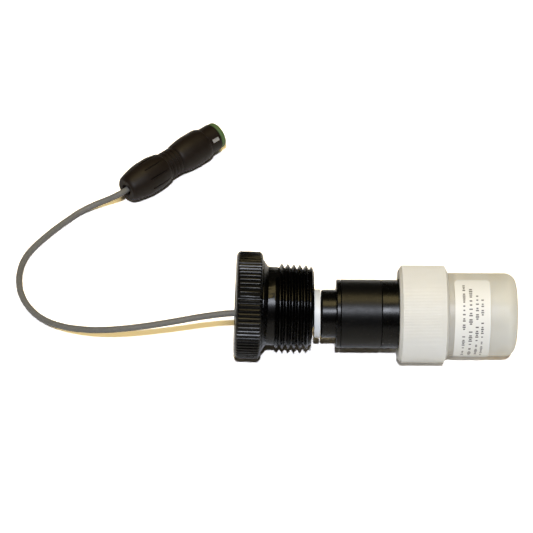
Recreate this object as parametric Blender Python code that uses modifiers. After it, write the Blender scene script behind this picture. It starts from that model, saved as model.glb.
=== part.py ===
"""Dissolved oxygen sensor lying on a table: a probe in its storage bottle, with a loose threaded plug
behind it and a short lead to a round connector.

Metres, +Z up. The table is z = 0, the probe lies along X with its bottle at +X, and the origin is
under the middle of the probe. Each turned piece is drawn on its own axis: distances are measured
forward along that axis, and radii from it.
"""

import math

import bmesh
import bpy
from mathutils import Matrix, Vector

# Fits
SEAT_GAP = 0.0003
SIDES = 32
SMALL_SIDES = 20
FINE_SIDES = 16
CONTACT_SIDES = 12
CUT_BEYOND = 0.002

# Threaded plug: a knurled head, a cone, a plain neck and a tapered pipe thread
HEAD_RADIUS = 0.0206
HEAD_LENGTH = 0.0101
HEAD_CHAMFER = 0.0012
HEAD_FLUTES = 72
FLUTE_DEPTH = 0.0005
FLUTE_TIP_SHARE = 0.27
HEAD_LEDGE = 0.0031
CONE_LENGTH = 0.0021
PLUG_NECK_RADIUS = 0.01505
PLUG_NECK_LENGTH = 0.0036
THREAD_LENGTH = 0.0138
THREAD_PITCH = 0.002309
THREAD_DEPTH = 0.0016
THREAD_CREST_RADIUS = 0.0165
THREAD_TAPER = 1 / 32
THREAD_RUN_OUT_SLOPE = 1.2
THREAD_RUN_OUT_START = 0.00053
THREAD_FOOT = 0.0002
THREAD_FOOT_SHARE = 0.98
THREAD_STEPS = 28
PLUG_BORE_CLEARANCE = 0.0033
BORE_CHAMFER = 0.0006
PLUG_DIP_DEG = 2.4

# Thrust ring between the plug and the probe
RING_RADIUS = 0.00927
RING_THICKNESS = 0.00237

# Probe body
STEM_RADIUS = 0.0052
STEM_START = 0.0143
NECK_RADIUS = 0.00923
NECK_LENGTH = 0.00578
NECK_ROUNDING = 0.0005
BODY_RADIUS = 0.01315
RIM_LENGTH = 0.00155
SLEEVE_LENGTH = 0.0153
SLEEVE_WALL = 0.0017
EDGE_CHAMFER = 0.0003

# Membrane cap: the front barrel, which screws onto the housing, and what it holds
BARREL_LENGTH = 0.0277
BARREL_WALL = 0.0024
BARREL_TIP_CHAMFER = 0.001
CHAMBER_LENGTH = 0.0174
CHAMBER_WALL = 0.00375
FRONT_WALL = 0.0018
WINDOW_LEDGE = 0.0032
MEMBRANE_THICKNESS = 0.0003
MEMBRANE_SEAL_WIRE = 0.0006
MEMBRANE_CLAMP_LENGTH = 0.002
MEMBRANE_CLAMP_CLEARANCE = 0.0009

# Electrodes
ELECTROLYTE_ROOM = 0.004
CATHODE_RADIUS = 0.003
CATHODE_HEIGHT = 0.0009
CATHODE_ROUNDING = 0.0007
ANODE_WALL = 0.0028
ANODE_LENGTH = 0.0095
THERMISTOR_RADIUS = 0.0013
THERMISTOR_ROUNDING = 0.001
THERMISTOR_LENGTH = 0.0058
THERMISTOR_DEPTH = 0.0062

# Storage bottle with its screw collar, slip washer, seal, sponge and label
COLLAR_SETBACK = 0.0064
COLLAR_LENGTH = 0.0186
COLLAR_SIDE_WALL = 0.0023
COLLAR_WALL = 0.0023
COLLAR_HOLE_CLEARANCE = 0.00075
COLLAR_RIBS = 96
RIB_DEPTH = 0.0002
RIB_TIP_SHARE = 0.2
COLLAR_REAR_CHAMFER = (0.0012, 0.0015)
COLLAR_FRONT_CHAMFER = (0.001, 0.0021)
WASHER_THICKNESS = 0.0012
WASHER_HOLE_CLEARANCE = 0.00045
SEAL_THICKNESS = 0.0027
SEAL_EDGE_CLEARANCE = 0.0008
BOTTLE_WALL = 0.00124
BOTTLE_BASE = 0.0016
BOTTLE_CORNER = 0.0042
BOTTLE_SHOWN = 0.0264
BOTTLE_MOUTH_CLEARANCE = 0.00075
BOTTLE_NECK_WALL = 0.0012
BOTTLE_SHOULDER = 0.0008
BOTTLE_SHOULDER_STEP = 0.00084
BOTTLE_NECK_CLEARANCE = 0.0013
SPONGE_LENGTH = 0.007
LABEL_WIDTH = 0.0135
LABEL_SETBACK = 0.0022
LABEL_THICKNESS = 0.00012
LABEL_GAP = 0.0001
LABEL_CORNER = 0.002
LABEL_STEP = 0.002
LABEL_CORNER_STEPS = 4
LABEL_START_DEG = -10
LABEL_END_DEG = 170

# Lead and its boot
LEAD_RADIUS = 0.00125
LEAD_POINT_SPACING = 0.006
BOOT_START = 0.001
BOOT_TIP_RADIUS = 0.0022
BOOT_ROOT_RADIUS = 0.0045
BOOT_ROOT_LENGTH = 0.002
BOOT_RINGS = 3
BOOT_RING_DEPTH = 0.0003
BOOT_RING_SLOPE_SHARE = 0.1
LEAD_ROUTE = [
    (-0.0573, -0.0021, 0.0183),
    (-0.0669, -0.0024, 0.0167),
    (-0.0747, -0.0030, 0.0153),
    (-0.0824, -0.0034, 0.0138),
    (-0.0901, -0.0036, 0.0123),
    (-0.0979, -0.0033, 0.0107),
    (-0.1058, -0.0021, 0.0088),
    (-0.1136, 0.0004, 0.0066),
    (-0.1216, 0.0043, 0.0043),
    (-0.1289, 0.0097, 0.0024),
    (-0.1346, 0.0163, 0.0014),
    (-0.1385, 0.0235, 0.0013),
    (-0.1403, 0.0309, 0.0013),
    (-0.1405, 0.0371, 0.0013),
    (-0.1396, 0.0432, 0.0013),
    (-0.1373, 0.0491, 0.0013),
    (-0.1336, 0.0550, 0.0013),
    (-0.1289, 0.0612, 0.0013),
    (-0.1233, 0.0676, 0.0013),
    (-0.1175, 0.0729, 0.0018),
    (-0.1115, 0.0754, 0.0034),
    (-0.1061, 0.0765, 0.0054),
]
LEAD_STRAIGHT = 0.0035
LEAD_SEATED = 0.0115

# Connector: where its rear face lies, which way it points, and its pieces from rear to front
CONNECTOR_X = -0.0995
CONNECTOR_Y = 0.0797
CONNECTOR_HEADING_DEG = 43.4
NUT_RADIUS = 0.0073
NUT_REAR_RADIUS = 0.005
NUT_FRONT_RADIUS = 0.0064
NUT_LENGTH = 0.0198
NUT_HOLE_RADIUS = 0.00245
NUT_REAR_WALL = 0.0025
NUT_SIDES = 30
NUT_SLOTS = 10
NUT_SLOT_WIDTH = 0.0006
NUT_SLOT_DEPTH = 0.0004
NUT_SLOT_LENGTH = 0.0098
NUT_SLOT_SETBACK = 0.0013
CAVITY_RADIUS = 0.0044
PRESSURE_RING_LENGTH = 0.0022
CABLE_SEAL_LENGTH = 0.005
CAGE_LENGTH = 0.0064
CAGE_WALL = 0.0012
CAGE_SLOTS = 4
CAGE_SLOT_WIDTH = 0.001
CAGE_SLOT_LENGTH = 0.0042
SPIGOT_LENGTH = 0.0028
WAIST_RADIUS = 0.0059
WAIST_LENGTH = 0.008
WAIST_GROOVES = 4
WAIST_GROOVE_DEPTH = 0.0004
BULGE_RADIUS = 0.0071
BULGE_LENGTH = 0.0142
NOSE_STEP = 0.00115
NOSE_LENGTH = 0.0062
NOSE_SEATED = 0.009
NOSE_WALL = 0.0013
FACE_SEAL_LENGTH = 0.0019
INSERT_LENGTH = 0.0155
LATCH_LENGTH = 0.0032
LATCH_WIDTH = 0.0016
LATCH_HEIGHT = 0.0004
LATCH_TURN_DEG = 55
CONTACTS = 5
CONTACT_CIRCLE_RADIUS = 0.0028
CONTACT_RADIUS = 0.00055
CONTACT_BORE_RADIUS = 0.0003
CONTACT_LENGTH = 0.0133

# Outlines of the nut and the bulge: (share of the length, share of the swelling)
NUT_OUTLINE = (
    (0.05, 0.22),
    (0.1, 0.35),
    (0.2, 0.57),
    (0.36, 0.86),
    (0.49, 1.0),
    (0.76, 1.0),
    (0.86, 0.67),
    (0.96, 0.28),
)
BULGE_OUTLINE = (
    (0.0, 0.33),
    (0.13, 0.58),
    (0.35, 0.92),
    (0.45, 1.0),
    (0.84, 1.0),
    (0.91, 0.88),
    (1.0, 0.7),
)

# Places along the probe's axis, forward from the rear face of the plug's head
PLUG_LENGTH = HEAD_LENGTH + CONE_LENGTH + PLUG_NECK_LENGTH + THREAD_LENGTH
PLUG_DIP = math.radians(PLUG_DIP_DEG)
RING_START = PLUG_LENGTH * math.cos(PLUG_DIP) + RING_RADIUS * math.sin(PLUG_DIP) + SEAT_GAP
NECK_START = RING_START + RING_THICKNESS + SEAT_GAP
RIM_START = NECK_START + NECK_LENGTH
SLEEVE_START = RIM_START + RIM_LENGTH + SEAT_GAP
SLEEVE_END = SLEEVE_START + SLEEVE_LENGTH
BARREL_START = SLEEVE_END + SEAT_GAP
BARREL_END = BARREL_START + BARREL_LENGTH
COLLAR_START = BARREL_START + COLLAR_SETBACK
COLLAR_END = COLLAR_START + COLLAR_LENGTH
WASHER_START = COLLAR_START + COLLAR_WALL + SEAT_GAP
SEAL_START = WASHER_START + WASHER_THICKNESS + SEAT_GAP
BOTTLE_START = SEAL_START + SEAL_THICKNESS + SEAT_GAP
BOTTLE_END = COLLAR_END + BOTTLE_SHOWN
CHAMBER_END = BARREL_END - FRONT_WALL
MEMBRANE_START = CHAMBER_END - SEAT_GAP - MEMBRANE_THICKNESS
MEMBRANE_SEAL_MIDDLE = MEMBRANE_START - SEAT_GAP - MEMBRANE_SEAL_WIRE
MEMBRANE_CLAMP_END = MEMBRANE_SEAL_MIDDLE - MEMBRANE_SEAL_WIRE - SEAT_GAP
CATHODE_END = MEMBRANE_START - SEAT_GAP
HOLDER_END = CATHODE_END - CATHODE_HEIGHT - SEAT_GAP
BARREL_THREAD_END = BARREL_END - CHAMBER_LENGTH
THREAD_SPIGOT_END = BARREL_THREAD_END - SEAT_GAP

# Radii that follow from their neighbours
CONE_RADIUS = HEAD_RADIUS - HEAD_LEDGE
PLUG_BORE_RADIUS = STEM_RADIUS + PLUG_BORE_CLEARANCE
CHAMBER_RADIUS = BODY_RADIUS - CHAMBER_WALL
WINDOW_RADIUS = CHAMBER_RADIUS - WINDOW_LEDGE
HOLDER_RADIUS = CHAMBER_RADIUS - ELECTROLYTE_ROOM
SPIGOT_RADIUS = BODY_RADIUS - SLEEVE_WALL - SEAT_GAP
BARREL_BORE_RADIUS = BODY_RADIUS - BARREL_WALL
HOLDER_BORE_RADIUS = HOLDER_RADIUS + SEAT_GAP
BOTTLE_MOUTH_RADIUS = BODY_RADIUS + BOTTLE_MOUTH_CLEARANCE
BOTTLE_NECK_RADIUS = BOTTLE_MOUTH_RADIUS + BOTTLE_NECK_WALL
BOTTLE_RADIUS = BOTTLE_NECK_RADIUS + BOTTLE_SHOULDER_STEP
COLLAR_INNER_RADIUS = BOTTLE_NECK_RADIUS + BOTTLE_NECK_CLEARANCE
COLLAR_RADIUS = COLLAR_INNER_RADIUS + COLLAR_SIDE_WALL
BOTTLE_INNER_RADIUS = BOTTLE_RADIUS - BOTTLE_WALL
SPONGE_START = BOTTLE_END - BOTTLE_BASE - SEAT_GAP - SPONGE_LENGTH

# The collar and the plug's head both lie on the table, as far as the plug's play on the stem allows.
# The plug is pushed sideways on the stem, and its thread dips towards the probe.
PLUG_PLAY = PLUG_BORE_CLEARANCE - SEAT_GAP
AXIS_HEIGHT = max(COLLAR_RADIUS, HEAD_RADIUS - PLUG_PLAY)
PLUG_HEIGHT = min(max(HEAD_RADIUS, AXIS_HEIGHT - PLUG_PLAY), AXIS_HEIGHT + PLUG_PLAY)
PLUG_SIDESTEP = math.sqrt(max(0, PLUG_PLAY**2 - (PLUG_HEIGHT - AXIS_HEIGHT) ** 2))
PLUG_REAR_HEIGHT = PLUG_HEIGHT * math.cos(PLUG_DIP) + (HEAD_LENGTH - HEAD_CHAMFER) * math.sin(PLUG_DIP)
REACH_BEHIND = max(COLLAR_RADIUS, HEAD_RADIUS + PLUG_SIDESTEP)
REACH_IN_FRONT = max(COLLAR_RADIUS, HEAD_RADIUS - PLUG_SIDESTEP)
AXIS_Y = (REACH_IN_FRONT - REACH_BEHIND) / 2
HEAD_OVERHANG = (HEAD_RADIUS - HEAD_CHAMFER) * math.sin(PLUG_DIP)
REAR_X = (HEAD_OVERHANG - BOTTLE_END) / 2
CONNECTOR_HEIGHT = max(NUT_RADIUS, BULGE_RADIUS)

# Places along the connector's axis, forward from its rear face
PRESSURE_RING_START = NUT_REAR_WALL + SEAT_GAP
CABLE_SEAL_START = PRESSURE_RING_START + PRESSURE_RING_LENGTH + SEAT_GAP
CAGE_START = CABLE_SEAL_START + CABLE_SEAL_LENGTH + SEAT_GAP
SPIGOT_START = CAGE_START + CAGE_LENGTH + SEAT_GAP
WAIST_START = max(NUT_LENGTH + SEAT_GAP, SPIGOT_START + SPIGOT_LENGTH)
BULGE_START = WAIST_START + WAIST_LENGTH
BULGE_END = BULGE_START + BULGE_LENGTH
NOSE_END = BULGE_END + NOSE_LENGTH
FACE_SEAL_START = NOSE_END + SEAT_GAP
FACE_END = FACE_SEAL_START + FACE_SEAL_LENGTH
CLAMPED_RADIUS = CAVITY_RADIUS - SEAT_GAP
NOSE_RADIUS = BULGE_RADIUS - NOSE_STEP
NOSE_BORE_RADIUS = NOSE_RADIUS - NOSE_WALL
SHELL_BORE_RADIUS = NOSE_RADIUS + SEAT_GAP


def clear_scene():
    """Removes what the scene holds, and makes the collections for the part and its cutters."""
    for obj in list(bpy.data.objects):
        bpy.data.objects.remove(obj)
    for name in ("dissolved_oxygen_sensor", "cutters"):
        bpy.context.scene.collection.children.link(bpy.data.collections.new(name))


def material(name, colour, roughness, metallic=0.0):
    """A plain Principled material."""
    made = bpy.data.materials.new(name)
    made.use_nodes = True
    shader = made.node_tree.nodes["Principled BSDF"]
    shader.inputs["Base Color"].default_value = (*colour, 1)
    shader.inputs["Roughness"].default_value = roughness
    shader.inputs["Metallic"].default_value = metallic
    made.diffuse_color = (*colour, 1)
    return made


def axis_empty(name, location, heading=0.0, dip=0.0):
    """An empty whose Z axis points along its heading, level or dipping at its far end."""
    empty = bpy.data.objects.new(name, None)
    empty.location = location
    empty.rotation_euler = (0, math.pi / 2 + dip, heading)
    bpy.data.collections["dissolved_oxygen_sensor"].objects.link(empty)
    return empty


def new_object(name, data, axis, finish=None):
    """An object on its axis: a piece of the part if it has a finish, and a cutter otherwise."""
    obj = bpy.data.objects.new(name, data)
    obj.parent = axis
    if finish:
        data.materials.append(finish)
        bpy.data.collections["dissolved_oxygen_sensor"].objects.link(obj)
    else:
        obj.hide_render = True
        obj.display_type = "WIRE"
        bpy.data.collections["cutters"].objects.link(obj)
    return obj


def mesh_object(name, shape, axis, finish=None):
    """An object made of a finished bmesh."""
    mesh = bpy.data.meshes.new(name)
    shape.to_mesh(mesh)
    shape.free()
    return new_object(name, mesh, axis, finish)


def apply_modifiers(obj):
    """Makes the modifiers part of the mesh, and shades it smooth up to its edges."""
    bpy.context.view_layer.update()
    evaluated = obj.evaluated_get(bpy.context.evaluated_depsgraph_get())
    mesh = bpy.data.meshes.new_from_object(evaluated)
    obj.modifiers.clear()
    obj.data = mesh
    mesh.shade_smooth()
    mesh.set_sharp_from_angle(angle=math.radians(30))


def turned(name, outline, axis, finish=None, sides=SIDES):
    """A turned piece. The outline is (distance, radius) points: a loop, or a line that starts and ends
    on the axis. The Screw modifier needs it to run backwards along the outer side."""
    doubled_area = sum(
        r * next_z - next_r * z
        for (z, r), (next_z, next_r) in zip(outline, outline[1:] + outline[:1])
    )
    if doubled_area > 0:
        outline = outline[::-1]
    count = len(outline)
    edges = [(i, i + 1) for i in range(count - 1)]
    if outline[0][1] > 0:
        edges.append((count - 1, 0))
    profile = bpy.data.meshes.new(name)
    profile.from_pydata([(r, 0, z) for z, r in outline], edges, [])
    obj = new_object(name, profile, axis, finish)
    screw = obj.modifiers.new("Turn", "SCREW")
    screw.steps = sides
    screw.render_steps = sides
    screw.use_merge_vertices = True
    screw.merge_threshold = 0.000001
    apply_modifiers(obj)
    return obj


def boolean(obj, operation, other):
    """Cuts the cutter out of the object, or joins it on."""
    modifier = obj.modifiers.new(other.name, "BOOLEAN")
    modifier.operation = operation
    modifier.object = other


def ring(name, start, end, inner, outer, axis, finish, chamfer=0.0, sides=SIDES):
    """A turned ring or tube, with its outer edges chamfered."""
    outline = [(start, inner), (start, outer - chamfer), (start + chamfer, outer)]
    outline += [(end - chamfer, outer), (end, outer - chamfer), (end, inner)]
    if not chamfer:
        outline = [(start, inner), (start, outer), (end, outer), (end, inner)]
    return turned(name, outline, axis, finish, sides)


def rounded_corner(z, r, radius, steps=4):
    """Points round an outer corner at (z, r), from the cylinder to the end face."""
    angles = [math.pi / 2 * step / steps for step in range(steps + 1)]
    return [(z - radius + radius * math.sin(a), r - radius + radius * math.cos(a)) for a in angles]


def fluted_blank(name, start, end, radius, rear, front, flutes, axis, finish):
    """The turned blank of a fluted head. Each chamfer is (along the axis, radially). It has a flat for
    each tip, and its edges lie where the flutes are cut."""
    corner = radius / math.cos(math.pi / flutes)
    outline = [(start, 0), (start, corner - rear[1]), (start + rear[0], corner)]
    outline += [(end - front[0], corner), (end, corner - front[1]), (end, 0)]
    return turned(name, outline, axis, finish, flutes)


def flute_cutter(name, flutes, radius, depth, tip_share, start, end, axis):
    """A star of wedges, one for each flute, that cut past both ends and run out on the chamfers."""
    start -= CUT_BEYOND
    end += CUT_BEYOND
    half_width = radius * math.tan((1 - tip_share) * math.pi / flutes)
    above = depth * 0.1
    half_top = half_width * (depth + above) / depth
    shape = bmesh.new()
    for flute in range(flutes):
        turn = Matrix.Rotation(math.tau * flute / flutes, 4, "Z")
        corners = ((radius - depth, 0), (radius + above, half_top), (radius + above, -half_top))
        low = [shape.verts.new(turn @ Vector((x, y, start))) for x, y in corners]
        made = bmesh.ops.extrude_face_region(shape, geom=[shape.faces.new(low)])["geom"]
        lifted = [element for element in made if isinstance(element, bmesh.types.BMVert)]
        bmesh.ops.translate(shape, verts=lifted, vec=(0, 0, end - start))
    bmesh.ops.recalc_face_normals(shape, faces=shape.faces)
    return mesh_object(name, shape, axis)


def crest_radius(z):
    """The pipe thread's crest: a 1 in 16 taper, run out behind and chamfered in front."""
    thread_start = PLUG_LENGTH - THREAD_LENGTH
    full = THREAD_CREST_RADIUS - THREAD_TAPER * (z - thread_start)
    low = thread_root_radius(z) - THREAD_RUN_OUT_START
    run_out = low + THREAD_RUN_OUT_SLOPE * (z - thread_start)
    chamfer = low + THREAD_RUN_OUT_SLOPE * (PLUG_LENGTH - z)
    return min(full, run_out, chamfer)


def thread_root_radius(z):
    """The pipe thread's root, parallel to its crest."""
    along = z - (PLUG_LENGTH - THREAD_LENGTH)
    return THREAD_CREST_RADIUS - THREAD_TAPER * along - THREAD_DEPTH


def thread_ridge(name, axis):
    """The helical ridge of the pipe thread: a V whose foot is sunk into the core, lofted along a helix
    because its height changes all the way."""
    half_width = THREAD_FOOT_SHARE * THREAD_PITCH / 2
    first = PLUG_LENGTH - THREAD_LENGTH + half_width
    turns = (THREAD_LENGTH - 2 * half_width) / THREAD_PITCH
    count = math.ceil(turns * THREAD_STEPS)
    shape = bmesh.new()
    sections = []
    for step in range(count + 1):
        angle = math.tau * turns * step / count
        z = first + THREAD_PITCH * turns * step / count
        root = thread_root_radius(z)
        crest = max(crest_radius(z), root - THREAD_FOOT / 2)
        foot = root - THREAD_FOOT
        section = ((foot, -half_width), (crest, 0), (foot, half_width))
        places = [(r * math.cos(angle), r * math.sin(angle), z + dz) for r, dz in section]
        sections.append([shape.verts.new(place) for place in places])
    for here, there in zip(sections, sections[1:]):
        for i in range(len(here)):
            j = (i + 1) % len(here)
            shape.faces.new((here[i], here[j], there[j], there[i]))
    shape.faces.new(sections[0][::-1])
    shape.faces.new(sections[-1])
    bmesh.ops.recalc_face_normals(shape, faces=shape.faces)
    return mesh_object(name, shape, axis)


def threaded_plug(axis, finish):
    """The plug that screws into the pipe fitting: knurled head, cone, neck, tapered thread and bore."""
    chamfer = (HEAD_CHAMFER, HEAD_CHAMFER)
    plug = fluted_blank(
        "threaded_plug", 0, HEAD_LENGTH, HEAD_RADIUS, chamfer, chamfer, HEAD_FLUTES, axis, finish
    )
    neck_start = HEAD_LENGTH + CONE_LENGTH
    thread_start = neck_start + PLUG_NECK_LENGTH
    front_root = thread_root_radius(PLUG_LENGTH)
    sunk = HEAD_CHAMFER / 2
    sunk_radius = CONE_RADIUS + sunk * (CONE_RADIUS - PLUG_NECK_RADIUS) / CONE_LENGTH
    core_outline = [(HEAD_LENGTH - sunk, 0), (HEAD_LENGTH - sunk, sunk_radius)]
    core_outline += [(neck_start, PLUG_NECK_RADIUS), (thread_start, PLUG_NECK_RADIUS)]
    core_outline += [(thread_start, thread_root_radius(thread_start)), (PLUG_LENGTH, front_root)]
    core = turned("plug_core", core_outline + [(PLUG_LENGTH, 0)], axis)
    boolean(plug, "UNION", core)
    boolean(plug, "UNION", thread_ridge("plug_thread", axis))
    bore_end = PLUG_LENGTH + CUT_BEYOND
    bore_outline = [(-CUT_BEYOND, 0), (-CUT_BEYOND, PLUG_BORE_RADIUS + BORE_CHAMFER + CUT_BEYOND)]
    bore_outline += [(BORE_CHAMFER, PLUG_BORE_RADIUS), (bore_end, PLUG_BORE_RADIUS), (bore_end, 0)]
    boolean(plug, "DIFFERENCE", turned("plug_bore", bore_outline, axis))
    flutes = flute_cutter(
        "head_flutes", HEAD_FLUTES, HEAD_RADIUS, FLUTE_DEPTH, FLUTE_TIP_SHARE, 0, HEAD_LENGTH, axis
    )
    boolean(plug, "DIFFERENCE", flutes)


def probe_body(axis, finishes):
    """The housing with its stem, neck, rim and spigot, and the sleeve slipped over the spigot."""
    rim_end = RIM_START + RIM_LENGTH
    outline = [(STEM_START, 0), (STEM_START, STEM_RADIUS), (NECK_START, STEM_RADIUS)]
    outline += [(NECK_START, NECK_RADIUS - NECK_ROUNDING), (NECK_START + NECK_ROUNDING, NECK_RADIUS)]
    outline += [(RIM_START, NECK_RADIUS), (RIM_START, BODY_RADIUS - EDGE_CHAMFER)]
    outline += [(RIM_START + EDGE_CHAMFER, BODY_RADIUS), (rim_end, BODY_RADIUS)]
    outline += [(rim_end, SPIGOT_RADIUS), (SLEEVE_END, SPIGOT_RADIUS)]
    thread_radius = min(SPIGOT_RADIUS, BARREL_BORE_RADIUS - SEAT_GAP)
    outline += [(SLEEVE_END, thread_radius), (THREAD_SPIGOT_END, thread_radius)]
    outline += [(THREAD_SPIGOT_END, HOLDER_BORE_RADIUS), (BARREL_START - SEAT_GAP, HOLDER_BORE_RADIUS)]
    turned("rear_housing", outline + [(BARREL_START - SEAT_GAP, 0)], axis, finishes["gloss_black"])
    sleeve_bore = BODY_RADIUS - SLEEVE_WALL
    ring(
        "grip_sleeve", SLEEVE_START, SLEEVE_END, sleeve_bore, BODY_RADIUS, axis, finishes["satin_black"]
    )


def thrust_ring(axis, finish):
    """The white ring that the plug pushes against the probe's neck."""
    ring(
        "thrust_ring",
        RING_START,
        RING_START + RING_THICKNESS,
        STEM_RADIUS + SEAT_GAP,
        RING_RADIUS,
        axis,
        finish,
    )


def membrane_cap(axis, finishes):
    """The front barrel, and the membrane with its seal and clamp behind the window in its front wall."""
    outline = [(BARREL_START, BARREL_BORE_RADIUS), (BARREL_START, BODY_RADIUS)]
    outline += [(BARREL_END - BARREL_TIP_CHAMFER, BODY_RADIUS)]
    outline += [(BARREL_END, BODY_RADIUS - BARREL_TIP_CHAMFER), (BARREL_END, WINDOW_RADIUS)]
    outline += [(CHAMBER_END, WINDOW_RADIUS), (CHAMBER_END, CHAMBER_RADIUS)]
    outline += [(BARREL_THREAD_END, CHAMBER_RADIUS), (BARREL_THREAD_END, BARREL_BORE_RADIUS)]
    turned("front_barrel", outline, axis, finishes["gloss_black"])

    held_radius = CHAMBER_RADIUS - SEAT_GAP
    membrane_end = MEMBRANE_START + MEMBRANE_THICKNESS
    membrane_outline = [(MEMBRANE_START, 0), (MEMBRANE_START, held_radius)]
    membrane_outline += [(membrane_end, held_radius), (membrane_end, 0)]
    turned("membrane", membrane_outline, axis, finishes["membrane"], sides=SMALL_SIDES)

    wire_circle = (HOLDER_RADIUS + CHAMBER_RADIUS) / 2
    seal_outline = []
    for corner in range(6):
        angle = math.tau * corner / 6
        along = MEMBRANE_SEAL_MIDDLE + MEMBRANE_SEAL_WIRE * math.sin(angle)
        seal_outline.append((along, wire_circle + MEMBRANE_SEAL_WIRE * math.cos(angle)))
    turned("membrane_seal", seal_outline, axis, finishes["rubber"], sides=SMALL_SIDES)
    clamp_start = MEMBRANE_CLAMP_END - MEMBRANE_CLAMP_LENGTH
    clamp_bore = HOLDER_RADIUS + MEMBRANE_CLAMP_CLEARANCE
    ring(
        "membrane_clamp",
        clamp_start,
        MEMBRANE_CLAMP_END,
        clamp_bore,
        held_radius,
        axis,
        finishes["white"],
        sides=SMALL_SIDES,
    )


def electrodes(axis, finishes):
    """The holder in the housing's bore, with the cathode on its end, the anode round it and the
    temperature sensor in its rear bore."""
    holder_start = BARREL_START
    well_radius = THERMISTOR_RADIUS + SEAT_GAP
    well_end = holder_start + THERMISTOR_DEPTH
    outline = [(well_end, 0), (well_end, well_radius), (holder_start, well_radius)]
    outline += [(holder_start, HOLDER_RADIUS), (HOLDER_END, HOLDER_RADIUS), (HOLDER_END, 0)]
    turned("cathode_holder", outline, axis, finishes["holder"], sides=SMALL_SIDES)

    cathode_start = CATHODE_END - CATHODE_HEIGHT
    dome = [(cathode_start, 0), (cathode_start, CATHODE_RADIUS)]
    dome += rounded_corner(CATHODE_END, CATHODE_RADIUS, CATHODE_ROUNDING, steps=3)
    turned("cathode", dome + [(CATHODE_END, 0)], axis, finishes["gold"], sides=SMALL_SIDES)
    anode_start = THREAD_SPIGOT_END + SEAT_GAP
    ring(
        "anode",
        anode_start,
        anode_start + ANODE_LENGTH,
        HOLDER_RADIUS + SEAT_GAP,
        HOLDER_RADIUS + SEAT_GAP + ANODE_WALL,
        axis,
        finishes["zinc"],
        sides=SMALL_SIDES,
    )
    bead_end = well_end - SEAT_GAP
    bead_start = bead_end - THERMISTOR_LENGTH
    bead = [(bead_start, 0), (bead_start, THERMISTOR_RADIUS)]
    bead += rounded_corner(bead_end, THERMISTOR_RADIUS, THERMISTOR_ROUNDING, steps=2)
    turned("thermistor", bead + [(bead_end, 0)], axis, finishes["steel"], sides=FINE_SIDES)


def storage_collar(axis, finish):
    """The ribbed screw collar, open in front for the bottle's neck and holed behind for the probe."""
    collar = fluted_blank(
        "storage_collar",
        COLLAR_START,
        COLLAR_END,
        COLLAR_RADIUS,
        COLLAR_REAR_CHAMFER,
        COLLAR_FRONT_CHAMFER,
        COLLAR_RIBS,
        axis,
        finish,
    )
    hole = BODY_RADIUS + COLLAR_HOLE_CLEARANCE
    cut_start = COLLAR_START - CUT_BEYOND
    cut_end = COLLAR_END + CUT_BEYOND
    inner_wall = COLLAR_START + COLLAR_WALL
    cavity = [(cut_start, 0), (cut_start, hole), (inner_wall, hole)]
    cavity += [(inner_wall, COLLAR_INNER_RADIUS), (cut_end, COLLAR_INNER_RADIUS), (cut_end, 0)]
    boolean(collar, "DIFFERENCE", turned("collar_cavity", cavity, axis))
    valleys = flute_cutter(
        "collar_valleys",
        COLLAR_RIBS,
        COLLAR_RADIUS,
        RIB_DEPTH,
        RIB_TIP_SHARE,
        COLLAR_START,
        COLLAR_END,
        axis,
    )
    boolean(collar, "DIFFERENCE", valleys)


def slip_washer(axis, finish):
    """The washer that lets the collar turn without twisting the seal."""
    inner = BODY_RADIUS + WASHER_HOLE_CLEARANCE
    outer = COLLAR_INNER_RADIUS - SEAT_GAP
    ring("slip_washer", WASHER_START, WASHER_START + WASHER_THICKNESS, inner, outer, axis, finish)


def storage_bottle(axis, finishes):
    """The blown bottle, the seal on its mouth and the wet sponge on its floor."""
    shoulder_start = COLLAR_END - SEAT_GAP - BOTTLE_SHOULDER
    floor = BOTTLE_END - BOTTLE_BASE
    inner_corner = rounded_corner(floor, BOTTLE_INNER_RADIUS, BOTTLE_CORNER - BOTTLE_WALL, steps=2)
    outline = [(floor, 0)] + inner_corner[::-1]
    outline += [(COLLAR_END, BOTTLE_INNER_RADIUS), (shoulder_start, BOTTLE_MOUTH_RADIUS)]
    outline += [(BOTTLE_START, BOTTLE_MOUTH_RADIUS), (BOTTLE_START, BOTTLE_NECK_RADIUS)]
    outline += [(shoulder_start, BOTTLE_NECK_RADIUS), (COLLAR_END - SEAT_GAP, BOTTLE_RADIUS)]
    outline += rounded_corner(BOTTLE_END, BOTTLE_RADIUS, BOTTLE_CORNER)
    turned("storage_bottle", outline + [(BOTTLE_END, 0)], axis, finishes["milky"])

    ring(
        "bottle_seal",
        SEAL_START,
        SEAL_START + SEAL_THICKNESS,
        BODY_RADIUS + SEAT_GAP,
        COLLAR_INNER_RADIUS - SEAL_EDGE_CLEARANCE,
        axis,
        finishes["rubber"],
    )
    sponge_radius = BOTTLE_INNER_RADIUS - SEAT_GAP
    sponge_end = SPONGE_START + SPONGE_LENGTH
    sponge_corner = rounded_corner(sponge_end, sponge_radius, BOTTLE_CORNER - BOTTLE_WALL, steps=2)
    sponge = [(SPONGE_START, 0), (SPONGE_START, sponge_radius)] + sponge_corner
    turned("sponge", sponge + [(sponge_end, 0)], axis, finishes["sponge"], sides=SMALL_SIDES)


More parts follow.
